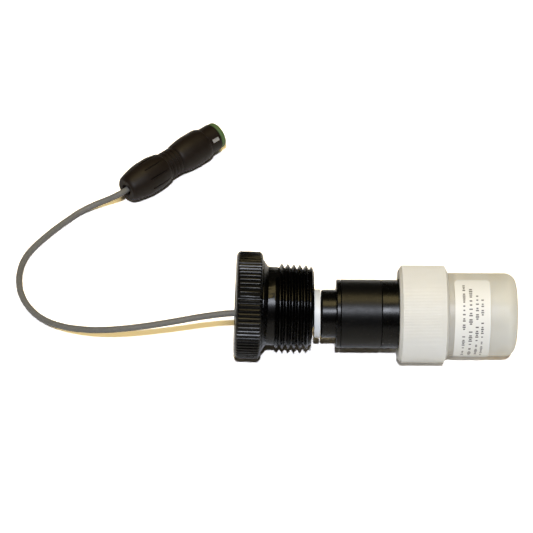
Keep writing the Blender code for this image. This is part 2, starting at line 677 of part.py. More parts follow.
def bottle_label(axis, finish):
    """The label wrapped round the camera's side of the bottle, with round corners."""
    radius = BOTTLE_RADIUS + LABEL_GAP
    arc = radius * math.radians(LABEL_END_DEG - LABEL_START_DEG)
    turns = [math.pi / 2 * step / LABEL_CORNER_STEPS for step in range(LABEL_CORNER_STEPS + 1)]
    corner = [LABEL_CORNER * (1 - math.cos(turn)) for turn in turns]
    rows = max(2, round(arc / LABEL_STEP))
    between = [LABEL_CORNER + (arc - 2 * LABEL_CORNER) * row / rows for row in range(1, rows)]
    places = corner + between + [arc - along for along in reversed(corner)]
    start = COLLAR_END + LABEL_SETBACK
    shape = bmesh.new()
    lines = []
    for along in places:
        from_end = min(along, arc - along, LABEL_CORNER)
        inset = LABEL_CORNER - math.sqrt(LABEL_CORNER**2 - (LABEL_CORNER - from_end) ** 2)
        angle = math.radians(LABEL_START_DEG) + along / radius
        around = (-radius * math.cos(angle), -radius * math.sin(angle))
        low = shape.verts.new((*around, start + inset))
        high = shape.verts.new((*around, start + LABEL_WIDTH - inset))
        lines.append((low, high))
    for (low, high), (next_low, next_high) in zip(lines, lines[1:]):
        shape.faces.new((low, high, next_high, next_low))
    shape.normal_update()
    middle = shape.faces[:][len(places) // 2]
    outward = Vector((*middle.calc_center_median()[:2], 0))
    if middle.normal.dot(outward) < 0:
        bmesh.ops.reverse_faces(shape, faces=shape.faces)
    label = mesh_object("bottle_label", shape, axis, finish)
    shell = label.modifiers.new("Thickness", "SOLIDIFY")
    shell.thickness = LABEL_THICKNESS
    shell.offset = 1


def cable_boot(axis, finish):
    """The ringed strain relief where the lead leaves the stem."""
    end = STEM_START - SEAT_GAP
    ring_length = (end - BOOT_ROOT_LENGTH - BOOT_START) / (2 * BOOT_RINGS)
    outline = [(BOOT_START, 0), (BOOT_START, BOOT_TIP_RADIUS)]
    for count in range(2 * BOOT_RINGS):
        here = BOOT_START + count * ring_length
        share = (here - BOOT_START) / (end - BOOT_START)
        radius = BOOT_TIP_RADIUS + (BOOT_ROOT_RADIUS - BOOT_TIP_RADIUS) * share
        radius -= BOOT_RING_DEPTH * (count % 2)
        slope = ring_length * BOOT_RING_SLOPE_SHARE
        outline += [(here + slope, radius), (here + ring_length - slope, radius)]
    outline += [(end - BOOT_ROOT_LENGTH, BOOT_ROOT_RADIUS), (end, BOOT_ROOT_RADIUS), (end, 0)]
    turned("cable_boot", outline, axis, finish, sides=FINE_SIDES)


def smooth_route(points, spacing):
    """Points about as far apart as the spacing, on a smooth curve through the given ones."""
    before_first = 2 * points[0] - points[1]
    after_last = 2 * points[-1] - points[-2]
    ends = [before_first, *points, after_last]
    route = [points[0]]
    for before, start, end, after in zip(ends, ends[1:], ends[2:], ends[3:]):
        steps = max(1, round((end - start).length / spacing))
        for step in range(1, steps + 1):
            t = step / steps
            bend = (2 * before - 5 * start + 4 * end - after) * t**2
            swing = (3 * start - before - 3 * end + after) * t**3
            route.append((2 * start + (end - before) * t + bend + swing) / 2)
    return route


def lead(finish, connector_axis):
    """The lead, from the boot down to the table, round in a wide curve and into the connector."""
    bpy.context.view_layer.update()
    leaves = Vector((REAR_X + BOOT_START - SEAT_GAP, AXIS_Y, AXIS_HEIGHT))
    enters = [
        connector_axis.matrix_world @ Vector((0, 0, along))
        for along in (-LEAD_STRAIGHT, 0, LEAD_SEATED)
    ]
    points = smooth_route([leaves, *map(Vector, LEAD_ROUTE), *enters], LEAD_POINT_SPACING)
    curve = bpy.data.curves.new("lead", "CURVE")
    curve.dimensions = "3D"
    curve.bevel_depth = LEAD_RADIUS
    curve.bevel_resolution = 2
    curve.use_fill_caps = True
    spline = curve.splines.new("POLY")
    spline.points.add(len(points) - 1)
    for point, place in zip(spline.points, points):
        point.co = (*place, 1)
    new_object("lead", curve, None, finish)


def slots(name, count, radius, width, depth, start, end, axis):
    """A star of thin blocks, one for each slot cut along a round piece."""
    shape = bmesh.new()
    for slot in range(count):
        turn = Matrix.Rotation(math.tau * (slot + 0.5) / count, 4, "Z")
        place = Matrix.Translation((radius, 0, (start + end) / 2))
        size = Matrix.Diagonal((2 * depth, width, end - start, 1))
        bmesh.ops.create_cube(shape, size=1, matrix=turn @ place @ size)
    return mesh_object(name, shape, axis)


def clamp_nut(axis, finishes):
    """The connector's long rear nut with its slotted front half, and the ring it pushes."""
    outline = [(0, NUT_HOLE_RADIUS), (0, NUT_REAR_RADIUS)]
    for share, height in NUT_OUTLINE:
        low = NUT_REAR_RADIUS if share < 0.5 else NUT_FRONT_RADIUS
        outline.append((NUT_LENGTH * share, low + (NUT_RADIUS - low) * height))
    outline += [(NUT_LENGTH, NUT_FRONT_RADIUS), (NUT_LENGTH, CAVITY_RADIUS)]
    outline += [(NUT_REAR_WALL, CAVITY_RADIUS), (NUT_REAR_WALL, NUT_HOLE_RADIUS)]
    nut = turned("clamp_nut", outline, axis, finishes["brown_black"], sides=NUT_SIDES)
    slot_end = NUT_LENGTH - NUT_SLOT_SETBACK
    cutter = slots(
        "nut_slots",
        NUT_SLOTS,
        NUT_RADIUS,
        NUT_SLOT_WIDTH,
        NUT_SLOT_DEPTH,
        slot_end - NUT_SLOT_LENGTH,
        slot_end,
        axis,
    )
    boolean(nut, "DIFFERENCE", cutter)
    ring(
        "pressure_ring",
        PRESSURE_RING_START,
        PRESSURE_RING_START + PRESSURE_RING_LENGTH,
        LEAD_RADIUS + 2 * SEAT_GAP,
        CLAMPED_RADIUS,
        axis,
        finishes["brass"],
        sides=SMALL_SIDES,
    )


def cable_clamp(axis, finishes):
    """The rubber bush and the slotted cage that grip the lead inside the nut."""
    grip = LEAD_RADIUS + SEAT_GAP
    seal_end = CABLE_SEAL_START + CABLE_SEAL_LENGTH
    ring(
        "cable_seal",
        CABLE_SEAL_START,
        seal_end,
        grip,
        CLAMPED_RADIUS,
        axis,
        finishes["rubber"],
        sides=SMALL_SIDES,
    )
    cage = ring(
        "clamp_cage",
        CAGE_START,
        CAGE_START + CAGE_LENGTH,
        CLAMPED_RADIUS - CAGE_WALL,
        CLAMPED_RADIUS,
        axis,
        finishes["brass"],
        sides=SMALL_SIDES,
    )
    cutter = slots(
        "cage_slots",
        CAGE_SLOTS,
        CLAMPED_RADIUS - CAGE_WALL / 2,
        CAGE_SLOT_WIDTH,
        CAGE_WALL,
        CAGE_START - CUT_BEYOND,
        CAGE_START + CAGE_SLOT_LENGTH,
        axis,
    )
    boolean(cage, "DIFFERENCE", cutter)


def connector_shell(axis, finishes):
    """The grooved waist and smooth bulge of the connector, and the nose sleeve that stands out of it."""
    wire_bore = CLAMPED_RADIUS - CAGE_WALL
    outline = [(SPIGOT_START, wire_bore), (SPIGOT_START, CLAMPED_RADIUS), (WAIST_START, CLAMPED_RADIUS)]
    outline += [(WAIST_START, WAIST_RADIUS)]
    groove = WAIST_LENGTH / (2 * WAIST_GROOVES + 1)
    for count in range(WAIST_GROOVES):
        edge = WAIST_START + groove * (2 * count + 1)
        low = WAIST_RADIUS - WAIST_GROOVE_DEPTH
        outline += [(edge, WAIST_RADIUS), (edge + groove / 2, low), (edge + groove, WAIST_RADIUS)]
    for share, height in BULGE_OUTLINE:
        radius = WAIST_RADIUS + (BULGE_RADIUS - WAIST_RADIUS) * height
        outline.append((BULGE_START + BULGE_LENGTH * share, radius))
    nose_seat = BULGE_END - NOSE_SEATED
    outline += [(BULGE_END, SHELL_BORE_RADIUS), (nose_seat, SHELL_BORE_RADIUS), (nose_seat, wire_bore)]
    turned("connector_shell", outline, axis, finishes["brown_black"], sides=SMALL_SIDES)

    nose_start = nose_seat + SEAT_GAP
    nose = [(nose_start, NOSE_BORE_RADIUS), (nose_start, NOSE_RADIUS)]
    nose += [(NOSE_END - EDGE_CHAMFER, NOSE_RADIUS), (NOSE_END, NOSE_RADIUS - EDGE_CHAMFER)]
    nose.append((NOSE_END, NOSE_BORE_RADIUS))
    turned("connector_nose", nose, axis, finishes["brown_black"], sides=SMALL_SIDES)
    ring(
        "face_seal",
        FACE_SEAL_START,
        FACE_END,
        NOSE_BORE_RADIUS,
        NOSE_RADIUS - EDGE_CHAMFER,
        axis,
        finishes["green"],
        sides=SMALL_SIDES,
    )


def index_latch(axis, finish):
    """The small raised mark on the nose that shows which way up the connector mates."""
    turn = Matrix.Rotation(math.radians(180 + LATCH_TURN_DEG), 4, "Z")
    middle = (BULGE_END + NOSE_END) / 2
    place = Matrix.Translation((NOSE_RADIUS + SEAT_GAP / 3 + LATCH_HEIGHT / 2, 0, middle))
    size = Matrix.Diagonal((LATCH_HEIGHT, LATCH_WIDTH, LATCH_LENGTH, 1))
    shape = bmesh.new()
    bmesh.ops.create_cube(shape, size=1, matrix=turn @ place @ size)
    latch = mesh_object("index_latch", shape, axis, finish)
    rounding = latch.modifiers.new("Rounding", "BEVEL")
    rounding.width = LATCH_HEIGHT / 3
    rounding.segments = 2


def contacts(axis, finishes):
    """The insulating insert with its socket contacts, flush with the connector's face."""
    insert_start = FACE_END - INSERT_LENGTH
    insert_radius = NOSE_BORE_RADIUS - SEAT_GAP
    outline = [(insert_start, 0), (insert_start, insert_radius), (FACE_END, insert_radius)]
    insert = turned("contact_insert", outline + [(FACE_END, 0)], axis, finishes["insert"], sides=SMALL_SIDES)
    well_radius = CONTACT_RADIUS + SEAT_GAP
    contact_start = FACE_END - CONTACT_LENGTH - SEAT_GAP
    for number in range(1, CONTACTS + 1):
        angle = math.tau * number / CONTACTS
        spot = (CONTACT_CIRCLE_RADIUS * math.cos(angle), CONTACT_CIRCLE_RADIUS * math.sin(angle), 0)
        well = [(contact_start - SEAT_GAP, 0), (contact_start - SEAT_GAP, well_radius)]
        well += [(FACE_END + CUT_BEYOND, well_radius), (FACE_END + CUT_BEYOND, 0)]
        cutter = turned(f"contact_well_{number}", well, axis, sides=CONTACT_SIDES)
        cutter.location = spot
        boolean(insert, "DIFFERENCE", cutter)
        mouth = FACE_END - SEAT_GAP
        socket = [(contact_start, 0), (contact_start, CONTACT_RADIUS), (mouth, CONTACT_RADIUS)]
        socket += [(mouth, CONTACT_BORE_RADIUS), (mouth - CONTACT_LENGTH / 2, CONTACT_BORE_RADIUS)]
        socket += [(mouth - CONTACT_LENGTH / 2, 0)]
        contact = turned(f"contact_{number}", socket, axis, finishes["gold"], sides=CONTACT_SIDES)
        contact.location = spot


def build():
    """Makes every piece on its axis."""
    clear_scene()
    finishes = {
        "gloss_black": material("gloss_black", (0.012, 0.012, 0.014), 0.22),
        "satin_black": material("satin_black", (0.02, 0.02, 0.022), 0.5),
        "white": material("white", (0.80, 0.80, 0.80), 0.45),
        "warm_white": material("warm_white", (0.80, 0.77, 0.68), 0.5),
        "milky": material("milky", (0.72, 0.68, 0.58), 0.35),
        "paper": material("paper", (0.86, 0.83, 0.76), 0.6),
        "sponge": material("sponge", (0.75, 0.68, 0.45), 0.95),
        "rubber": material("rubber", (0.03, 0.03, 0.03), 0.7),
        "membrane": material("membrane", (0.75, 0.76, 0.78), 0.3),
        "holder": material("holder", (0.55, 0.54, 0.50), 0.5),
        "gold": material("gold", (0.83, 0.62, 0.25), 0.25, 1.0),
        "zinc": material("zinc", (0.55, 0.56, 0.58), 0.45, 1.0),
        "steel": material("steel", (0.60, 0.60, 0.60), 0.35, 1.0),
        "brass": material("brass", (0.70, 0.55, 0.28), 0.35, 1.0),
        "grey_jacket": material("grey_jacket", (0.20, 0.20, 0.19), 0.5),
        "brown_black": material("brown_black", (0.035, 0.030, 0.027), 0.45),
        "insert": material("insert", (0.05, 0.05, 0.05), 0.5),
        "green": material("green", (0.10, 0.19, 0.06), 0.5),
        "latch": material("latch", (0.45, 0.46, 0.48), 0.25, 0.8),
    }
    probe = axis_empty("probe_axis", (REAR_X, AXIS_Y, AXIS_HEIGHT))
    plug_place = (REAR_X, AXIS_Y + PLUG_SIDESTEP, PLUG_REAR_HEIGHT)
    plug = axis_empty("plug_axis", plug_place, dip=PLUG_DIP)
    heading = math.radians(CONNECTOR_HEADING_DEG)
    connector_place = (CONNECTOR_X, CONNECTOR_Y, CONNECTOR_HEIGHT)
    connector = axis_empty("connector_axis", connector_place, heading)

    threaded_plug(plug, finishes["gloss_black"])
    thrust_ring(probe, finishes["white"])
    probe_body(probe, finishes)
    electrodes(probe, finishes)
    membrane_cap(probe, finishes)
    storage_collar(probe, finishes["warm_white"])
    slip_washer(probe, finishes["white"])
    storage_bottle(probe, finishes)
    bottle_label(probe, finishes["paper"])
    cable_boot(probe, finishes["rubber"])
    lead(finishes["grey_jacket"], connector)
    clamp_nut(connector, finishes)
    cable_clamp(connector, finishes)
    connector_shell(connector, finishes)
    index_latch(connector, finishes["latch"])
    contacts(connector, finishes)


build()
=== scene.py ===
import math

import bpy
from mathutils import Matrix, Vector


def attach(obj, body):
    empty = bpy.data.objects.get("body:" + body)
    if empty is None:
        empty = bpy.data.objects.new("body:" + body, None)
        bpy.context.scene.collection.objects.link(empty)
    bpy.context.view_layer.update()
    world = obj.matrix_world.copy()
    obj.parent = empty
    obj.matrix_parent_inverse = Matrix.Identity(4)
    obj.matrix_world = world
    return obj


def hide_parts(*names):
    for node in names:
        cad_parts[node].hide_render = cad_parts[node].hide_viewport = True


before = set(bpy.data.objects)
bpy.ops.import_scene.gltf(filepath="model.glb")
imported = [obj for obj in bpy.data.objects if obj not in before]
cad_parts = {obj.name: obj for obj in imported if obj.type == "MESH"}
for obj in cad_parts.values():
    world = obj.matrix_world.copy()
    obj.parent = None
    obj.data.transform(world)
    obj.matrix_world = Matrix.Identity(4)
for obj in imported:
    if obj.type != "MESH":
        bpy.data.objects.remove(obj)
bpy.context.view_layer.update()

# Camera.
# It looks down at nearly 45 degrees with the probe lying straight across the picture,
# through a long lens, so that the probe's sides stay nearly parallel.
MM = 0.001
SENSOR_WIDTH = 36
LENS = 158.05
LOOK_AT = Vector((-41.45, 10.6, 31.4)) * MM
CAMERA_HEIGHT = math.radians(44.5)
CAMERA_DISTANCE = 900
CAMERA_ROLL = math.radians(0.35)
camera = bpy.data.objects.new("camera", bpy.data.cameras.new("camera"))
bpy.context.collection.objects.link(camera)
camera.data.sensor_width = SENSOR_WIDTH
camera.data.lens = LENS
camera.data.clip_start = 0.05
away = Vector((0, -math.cos(CAMERA_HEIGHT), math.sin(CAMERA_HEIGHT)))
camera.location = LOOK_AT + away * CAMERA_DISTANCE * MM
facing = (LOOK_AT - camera.location).to_track_quat("-Z", "Y").to_matrix()
camera.rotation_euler = (facing @ Matrix.Rotation(CAMERA_ROLL, 3, "Z")).to_euler()
bpy.context.scene.camera = camera

# Floor and light.
# A white sheet reaches far past the picture and is a little overexposed in it. A small cool
# flash above the camera throws the sharp shadows, and a broad warm lamp overhead fills them.
FLOOR_SIZE = 24
FLOOR_DROP = 0.05
SHEET_PLAIN = (0.74, 0.74, 0.74, 1)
SHEET_BRIGHT = (1.62, 1.52, 1.4, 1)
BRIGHT_IN_GLOSS = 0.2
FLASH_PLACE = (0, -0.48, 0.79)
CEILING_PLACE = (0, 0.19, 2.0)
ROOM_BELOW = (0.6, 0.6, 0.6, 1)
ROOM_ABOVE = (0.05, 0.043, 0.031, 1)
ROOM_HORIZON = 0.04


def node(material, kind, *sources, **settings):
    """Adds a node to a material or world, wires the sources to its first sockets,
    and returns its first output."""
    made = material.node_tree.nodes.new("ShaderNode" + kind)
    values = settings.pop("values", {})
    for name, setting in settings.items():
        setattr(made, name, setting)
    for socket, value in values.items():
        made.inputs[socket].default_value = value
    for place, source in enumerate(sources):
        if source is not None:
            material.node_tree.links.new(source, made.inputs[place])
    return made.outputs[0]


def lamp(name, kind, energy, colour, place, tilt, **settings):
    """Adds a lamp at a place, tilted about X by so many degrees, with the settings of its kind."""
    bpy.ops.object.light_add(type=kind, location=place, rotation=(math.radians(tilt), 0, 0))
    made = bpy.context.object
    made.name = name
    made.data.energy = energy
    made.data.color = colour
    for setting, value in settings.items():
        setattr(made.data, setting, value)
    return made


bpy.ops.object.select_all(action="DESELECT")
bpy.ops.mesh.primitive_plane_add(size=FLOOR_SIZE, location=(0, 0, -FLOOR_DROP * MM))
floor = bpy.context.object
floor.name = "floor"
floor_white = bpy.data.materials.new("floor_white")
floor_white.use_nodes = True
floor_white.node_tree.nodes.clear()
ray = node(floor_white, "LightPath").node.outputs
straight = node(
    floor_white, "Math", ray["Is Camera Ray"], ray["Is Transmission Ray"], operation="MAXIMUM"
)
# In gloss the sheet is only a fifth of the way from plain to overexposed.
exposure = node(
    floor_white,
    "Math",
    ray["Is Glossy Ray"],
    None,
    straight,
    operation="MULTIPLY_ADD",
    values={1: BRIGHT_IN_GLOSS},
)
sheet_plain = node(floor_white, "BsdfDiffuse", values={"Color": SHEET_PLAIN})
sheet_bright = node(floor_white, "BsdfDiffuse", values={"Color": SHEET_BRIGHT})
sheet = node(floor_white, "MixShader", exposure, sheet_plain, sheet_bright)
floor_output = floor_white.node_tree.nodes.new("ShaderNodeOutputMaterial")
floor_white.node_tree.links.new(sheet, floor_output.inputs["Surface"])
floor.data.materials.append(floor_white)

key = lamp("key_lamp", "SUN", 2.83, (0.82, 0.88, 1.0), (0, 0, 0), 35, angle=math.radians(1.5))
key.visible_glossy = False

# The flash as gloss shows it: a round reflector that gives no other light.
reflector = lamp(
    "reflector", "AREA", 6.5, (0.86, 0.9, 1.0), FLASH_PLACE, 31.5, shape="DISK", size=0.22
)
reflector.visible_diffuse = False

lamp("ceiling_lamp", "AREA", 17.0, (1.0, 0.8, 0.38), CEILING_PLACE, -5.4, shape="SQUARE", size=0.85)

# The room is dim above the horizon and light below it.
room = bpy.data.worlds.new("room")
room.use_nodes = True
bpy.context.scene.world = room
direction = node(room, "TexCoord").node.outputs["Generated"]
height = node(room, "SeparateXYZ", direction).node.outputs["Z"]
shades = node(room, "ValToRGB", height)
low_shade, high_shade = shades.node.color_ramp.elements
low_shade.position = 0.0
low_shade.color = ROOM_BELOW
high_shade.position = ROOM_HORIZON
high_shade.color = ROOM_ABOVE
room.node_tree.links.new(shades, room.node_tree.nodes["Background"].inputs["Color"])
bpy.context.scene.view_settings.view_transform = "Standard"


# Lead.
# A thin round cable in a dull grey soft jacket. It leaves the probe's stem through the
# hollow plug, drops to the floor, bends round and goes into the connector's rear nut.
def finish(name, colour, roughness, metallic=0.0, **constants):
    """A new material. Its shader's constants are named as its sockets are, with _ for a space."""
    material = bpy.data.materials.new(name)
    material.use_nodes = True
    inputs = material.node_tree.nodes["Principled BSDF"].inputs
    inputs["Base Color"].default_value = (*colour, 1)
    inputs["Roughness"].default_value = roughness
    inputs["Metallic"].default_value = metallic
    for socket, value in constants.items():
        inputs[socket.replace("_", " ")].default_value = value
    return material


NOISE_LOW = 0.3
NOISE_HIGH = 0.7


def grain(material, scale, stretch=(1, 1, 1), detail=2.0):
    """Noise of so many cells to the metre, stretched along X, Y or Z."""
    place = node(material, "TexCoord").node.outputs["Object"]
    moved = node(material, "Mapping", place, values={"Scale": stretch})
    return node(material, "TexNoise", moved, values={"Scale": scale, "Detail": detail})


def ranged(material, source, low, high, to_low, to_high):
    """Turns source from low..high into to_low..to_high, held at both ends."""
    limits = {1: low, 2: high, 3: to_low, 4: to_high}
    return node(material, "MapRange", source, values=limits)


def patches(material, scale, low=0, high=1, detail=2.0):
    """Soft patches of noise that run from low to high."""
    noise = grain(material, scale, detail=detail)
    return ranged(material, noise, NOISE_LOW, NOISE_HIGH, low, high)


def drive(material, socket, source):
    """Wires a source to the shader."""
    shader = material.node_tree.nodes["Principled BSDF"]
    material.node_tree.links.new(source, shader.inputs[socket])


def tint(material, amount, first, second):
    """The shader's colour runs from first to second with amount."""
    mixed = node(material, "Mix", amount, data_type="RGBA").node
    mixed.inputs["A"].default_value = (*first, 1)
    mixed.inputs["B"].default_value = (*second, 1)
    drive(material, "Base Color", mixed.outputs["Result"])
    return mixed.outputs["Result"]


def raise_surface(material, height, distance):
    """Bump of that height, with its distance in mm."""
    raised = node(material, "Bump", values={"Strength": 1.0, "Distance": distance * MM}).node
    material.node_tree.links.new(height, raised.inputs["Height"])
    drive(material, "Normal", raised.outputs["Normal"])


LEAD_RADIUS = 1.25
LEAD_ROUTE = [
    (-50.2, -2.1, 18.7), (-52.7, -2.1, 18.7), (-57.3, -2.1, 18.3), (-66.9, -2.4, 16.7),
    (-74.7, -3.0, 15.3), (-82.4, -3.4, 13.8), (-90.1, -3.6, 12.3), (-97.9, -3.3, 10.7),
    (-105.8, -2.1, 8.8), (-113.6, 0.4, 6.6), (-121.6, 4.3, 4.3), (-128.9, 9.7, 2.4), (-134.6, 16.3, 1.4),
    (-138.5, 23.5, 1.3), (-140.3, 30.9, 1.3), (-140.5, 37.1, 1.3), (-139.6, 43.2, 1.3),
    (-137.3, 49.1, 1.3), (-133.6, 55.0, 1.3), (-128.9, 61.2, 1.3), (-123.3, 67.6, 1.3),
    (-117.5, 72.9, 1.8), (-111.5, 75.4, 3.4), (-106.1, 76.5, 5.4), (-102.04, 77.3, 7.3),
    (-99.5, 79.7, 7.3), (-91.14, 87.6, 7.3),
]  # fmt: skip
lead_line = bpy.data.curves.new("lead_line", "CURVE")
lead_line.dimensions = "3D"
lead_line.bevel_depth = LEAD_RADIUS * MM
lead_line.bevel_resolution = 8
lead_line.resolution_u = 10
lead_line.use_fill_caps = True
run = lead_line.splines.new("BEZIER")
run.bezier_points.add(len(LEAD_ROUTE) - 1)
for point, place in zip(run.bezier_points, LEAD_ROUTE):
    point.co = Vector(place) * MM
    point.handle_left_type = point.handle_right_type = "AUTO"
lead = bpy.data.objects.new("lead_cable", lead_line)
bpy.context.collection.objects.link(lead)

lead_jacket = finish("lead_jacket", (0.145, 0.14, 0.128), 0.5, Specular_IOR_Level=0.3)
lead_patches = patches(lead_jacket, 900, detail=3)
tint(lead_jacket, lead_patches, (0.132, 0.127, 0.114), (0.162, 0.156, 0.142))
raise_surface(lead_jacket, grain(lead_jacket, 4000), 0.03)
lead_line.materials.append(lead_jacket)
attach(lead, "probe")
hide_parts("lead")

# Strain relief.
# A soft black rubber boot moulded on the lead, narrower towards its tip, with three
# raised rings that let it bend. It is fixed in the end of the stem, inside the plug.
UP = Vector((0, 0, 1))
ACROSS = Vector((1, 0, 0))
PROBE_AXIS = (Vector((-53.375, -2.111, 18.7)) * MM, ACROSS)
SIDES = 144


def start_mesh(name, places):
    """A new object at the world's origin with a line of points through the places."""
    bpy.ops.object.select_all(action="DESELECT")
    bpy.ops.mesh.primitive_plane_add(size=MM, location=(0, 0, 0))
    obj = bpy.context.object
    obj.name = obj.data.name = name
    bpy.ops.object.mode_set(mode="EDIT")
    bpy.ops.mesh.select_mode(type="VERT")
    bpy.ops.mesh.select_all(action="SELECT")
    bpy.ops.mesh.merge(type="CENTER")
    bpy.ops.transform.translate(value=places[0])
    for last, place in zip(places, places[1:]):
        bpy.ops.mesh.extrude_region_move(TRANSFORM_OT_translate={"value": place - last})
    return obj


def close_mesh(obj):
    """Merges doubles, turns the faces outwards and leaves edit mode."""
    bpy.ops.mesh.select_all(action="SELECT")
    bpy.ops.mesh.remove_doubles(threshold=0.0000005)
    bpy.ops.mesh.select_all(action="SELECT")
    bpy.ops.mesh.normals_make_consistent(inside=False)
    bpy.ops.object.mode_set(mode="OBJECT")
    return obj


def turned(name, outline, axis=PROBE_AXIS, sides=SIDES):
    """Turns an outline of (place along the axis, radius) points in mm, as a lathe does."""
    start, along = axis
    places = [start + (along * place + UP * radius) * MM for place, radius in outline]
    obj = start_mesh(name, places)
    bpy.ops.mesh.select_all(action="SELECT")
    bpy.ops.mesh.spin(steps=sides, angle=math.tau, center=start, axis=along)
    return close_mesh(obj)


def select_only(obj):
    """Makes obj the active object and the only selected one."""
    bpy.ops.object.select_all(action="DESELECT")
    obj.select_set(True)
    bpy.context.view_layer.objects.active = obj


def apply_modifier(obj, kind, **settings):
    """Adds one modifier with its settings and applies it."""
    modifier = obj.modifiers.new(kind.lower(), kind)
    for name, value in settings.items():
        setattr(modifier, name, value)
    select_only(obj)
    bpy.ops.object.modifier_apply(modifier=modifier.name)


def cut(obj, tool, operation="DIFFERENCE"):
    """Cuts obj with a tool, or joins it to the tool, and throws the tool away."""
    apply_modifier(obj, "BOOLEAN", operation=operation, object=tool, solver="EXACT")
    bpy.data.objects.remove(tool)


def finished(obj, body, material, node_name, edge=0.12, angle=35):
    """Breaks the sharp edges, shades the faces, gives the piece its finish and body, and hides the CAD
    node that it stands in for.
    """
    if edge:
        apply_modifier(
            obj,
            "BEVEL",
            width=edge * MM,
            segments=2,
            limit_method="ANGLE",
            angle_limit=math.radians(angle),
        )
    select_only(obj)
    bpy.ops.object.shade_smooth_by_angle(angle=math.radians(angle))
    apply_modifier(obj, "WEIGHTED_NORMAL", keep_sharp=True)
    obj.data.materials.clear()
    obj.data.materials.append(material)
    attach(obj, body)
    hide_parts(node_name)


def tube(outline):
    """Closes an outline that doesn't reach the axis."""
    return outline + outline[:1]


seal_rubber = finish("seal_rubber", (0.022, 0.022, 0.023), 0.62)
raise_surface(seal_rubber, grain(seal_rubber, 5000), 0.02)
drive(seal_rubber, "Roughness", patches(seal_rubber, 700, 0.55, 0.72))

boot_outline = [(1.0, 0), (1.0, 2.0), (1.2, 2.2), (2.65, 2.22), (3.0, 2.5), (4.5, 2.5), (4.85, 2.3)]
boot_outline += [(6.3, 2.7), (6.7, 3.0), (8.15, 3.0), (8.5, 2.9), (10.0, 3.2), (10.35, 3.5)]
boot_outline += [(11.8, 3.52), (12.0, 4.5), (14.0, 4.5), (14.0, 0)]
boot = turned("ringed_boot", boot_outline, sides=64)
finished(boot, "probe", seal_rubber, "cable_boot")

# Connector nut and what it squeezes.
# A turned nut, slotted on its front half, screws over the shell. It pushes a brass ring
# and a rubber bush against a slotted brass cage, and so grips the lead.
HEADING = math.radians(43.4)
CONNECTOR_AXIS = (
    Vector((-99.5, 79.7, 7.3)) * MM,
    Vector((math.cos(HEADING), math.sin(HEADING), 0)),
)
NUT_SLOTS = 10
CAGE_SLOTS = 4


def turned_copies(obj, count, axis):
    """Copies the whole mesh round an axis, evenly."""
    select_only(obj)
    bpy.ops.object.mode_set(mode="EDIT")
    bpy.ops.mesh.select_all(action="SELECT")
    bpy.ops.mesh.spin(steps=count, dupli=True, angle=math.tau, center=axis[0], axis=axis[1])
    return close_mesh(obj)


def bar(name, axis, place, height, size):
    """A block of (length, width, height) in mm, centred at a place and height over the axis."""
    start, along = axis
    bpy.ops.object.select_all(action="DESELECT")
    bpy.ops.mesh.primitive_cube_add(
        size=MM,
        location=start + (along * place + UP * height) * MM,
        rotation=(0, 0, math.atan2(along.y, along.x)),
        scale=size,
    )
    obj = bpy.context.object
    obj.name = name
    bpy.ops.object.transform_apply()
    return obj


def swing(obj, centre, turn):
    """Turns a finished mesh about a centre, and leaves its object unturned at the origin."""
    obj.matrix_world = Matrix.Translation(centre) @ turn.to_4x4() @ Matrix.Translation(-centre)
    select_only(obj)
    bpy.ops.object.transform_apply()


connector_brown = finish("connector_brown", (0.009, 0.0053, 0.0031), 0.5, Specular_IOR_Level=0.21)
brown_patches = patches(connector_brown, 1200)
tint(connector_brown, brown_patches, (0.0075, 0.0044, 0.0026), (0.0105, 0.0062, 0.0037))
drive(connector_brown, "Roughness", ranged(connector_brown, brown_patches, 0, 1, 0.45, 0.55))
raise_surface(connector_brown, grain(connector_brown, 6000, detail=3), 0.012)

nut_outline = [(0, 2.45), (0, 4.6), (0.35, 4.98), (0.99, 5.5), (2.0, 5.83), (4.0, 6.32), (5.5, 6.68)]
nut_outline += [(7.1, 6.98), (8.4, 7.18), (9.7, 7.28), (11.5, 7.3), (13.6, 7.3), (15.05, 7.27)]
nut_outline += [(16.1, 7.15), (17.0, 7.0), (18.0, 6.84), (19.0, 6.65), (19.6, 6.48), (19.8, 6.3)]
nut_outline += [(19.8, 4.4), (2.5, 4.4), (2.5, 2.45)]
nut = turned("slotted_nut", tube(nut_outline), CONNECTOR_AXIS)
slot_tool = bar("slot_tool", CONNECTOR_AXIS, 13.5, 7.65, (9.6, 0.62, 2.0))
turned_copies(slot_tool, NUT_SLOTS, CONNECTOR_AXIS)
swing(slot_tool, CONNECTOR_AXIS[0], Matrix.Rotation(math.pi / NUT_SLOTS, 3, CONNECTOR_AXIS[1]))
cut(nut, slot_tool)
finished(nut, "nut_body", connector_brown, "clamp_nut", edge=0.1)

clamp_brass = finish("clamp_brass", (0.62, 0.44, 0.17), 0.32, metallic=1.0)
raise_surface(clamp_brass, grain(clamp_brass, 9000), 0.008)
push_ring = turned("push_ring", tube([(2.8, 1.85), (2.8, 4.1), (5.0, 4.1), (5.0, 1.85)]), CONNECTOR_AXIS)
finished(push_ring, "pressure_body", clamp_brass, "pressure_ring")
bush = turned("grip_bush", tube([(5.3, 1.55), (5.3, 4.1), (10.3, 4.1), (10.3, 1.55)]), CONNECTOR_AXIS)
finished(bush, "probe", seal_rubber, "cable_seal", edge=0.3)
cage = turned("grip_cage", tube([(10.6, 2.9), (10.6, 4.1), (17.0, 4.1), (17.0, 2.9)]), CONNECTOR_AXIS)
cage_tool = bar("cage_tool", CONNECTOR_AXIS, 12.5, 3.5, (4.6, 1.0, 2.4))
cut(cage, turned_copies(cage_tool, CAGE_SLOTS, CONNECTOR_AXIS))
finished(cage, "probe", clamp_brass, "clamp_cage", edge=0.08)

